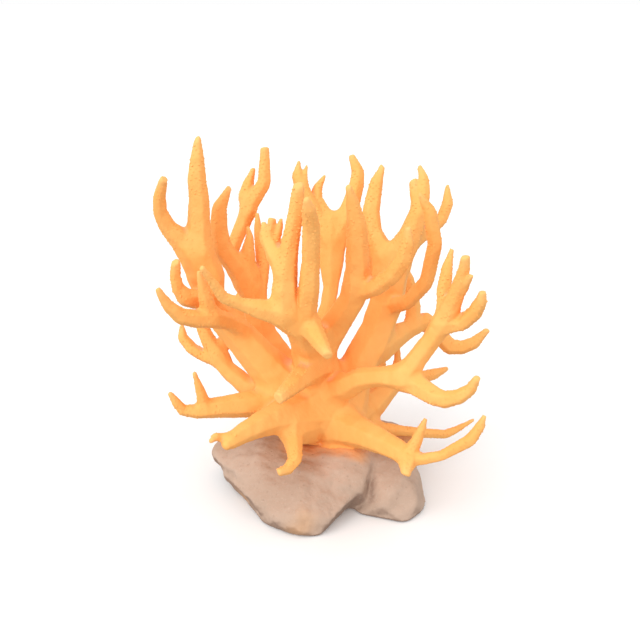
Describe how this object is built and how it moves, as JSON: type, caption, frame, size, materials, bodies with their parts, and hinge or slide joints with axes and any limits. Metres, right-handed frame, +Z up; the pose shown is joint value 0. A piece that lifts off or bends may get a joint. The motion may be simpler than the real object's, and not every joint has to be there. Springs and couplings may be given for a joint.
{
  "type": "staghorn coral",
  "caption": "A bushy staghorn coral with tapering, forking branches, grown on a flat-bottomed stone",
  "frame": {"origin": "centre of the stone's flat underside, the face it rests on", "axes": "Z up from the resting face; the front of the colony faces -Y; X to the colony's right as seen from the front"},
  "size_m": [0.2567, 0.2047, 0.2769],
  "materials": {
    "coral": "matte orange coral skeleton with paler branch tips",
    "stone": "weathered beige-brown stone, matte"
  },
  "bodies": {
    "root": {"back_arm": "coral", "back_left_antler": "coral", "back_left_limb": "coral", "back_left_outer_antler": "coral", "back_left_spike": "coral", "back_left_tall_antler": "coral", "back_left_twig": "coral", "back_right_antler": "coral", "centre_antler": "coral", "centre_arm": "coral", "centre_upright": "coral", "foot_back_twig": "coral", "foot_front_twig": "coral", "foot_left_branch": "coral", "foot_right_branch": "coral", "foot_right_outer": "coral", "front_arm": "coral", "front_fan": "coral", "front_left_antler": "coral", "front_right_antler": "coral", "front_stub": "coral", "left_curved_antler": "coral", "left_front_branch": "coral", "left_limb": "coral", "left_low_branch": "coral", "left_low_limb": "coral", "left_low_middle_twig": "coral", "left_low_outer_twig": "coral", "left_outer_twig": "coral", "left_tall_antler": "coral", "rear_inner_antler": "coral", "rear_left_inner_antler": "coral", "rear_left_limb": "coral", "rear_left_outer_antler": "coral", "rear_limb": "coral", "rear_low_left_branch": "coral", "rear_low_middle_branch": "coral", "rear_low_right_branch": "coral", "rear_outer_antler": "coral", "rear_right_inner_antler": "coral", "rear_right_limb": "coral", "rear_right_outer_antler": "coral", "right_arm": "coral", "right_arm_inner_tine": "coral", "right_arm_lower": "coral", "right_arm_middle_tine": "coral", "right_arm_outer_tine": "coral", "right_arm_upper": "coral", "right_back_branch": "coral", "right_back_outer": "coral", "right_back_upright": "coral", "right_front_branch": "coral", "right_high_twig": "coral", "right_inner_antler": "coral", "right_limb": "coral", "right_low_branch": "coral", "right_outer_antler": "coral", "stone": "stone", "trunk": "coral"}
  },
  "joints": []
}
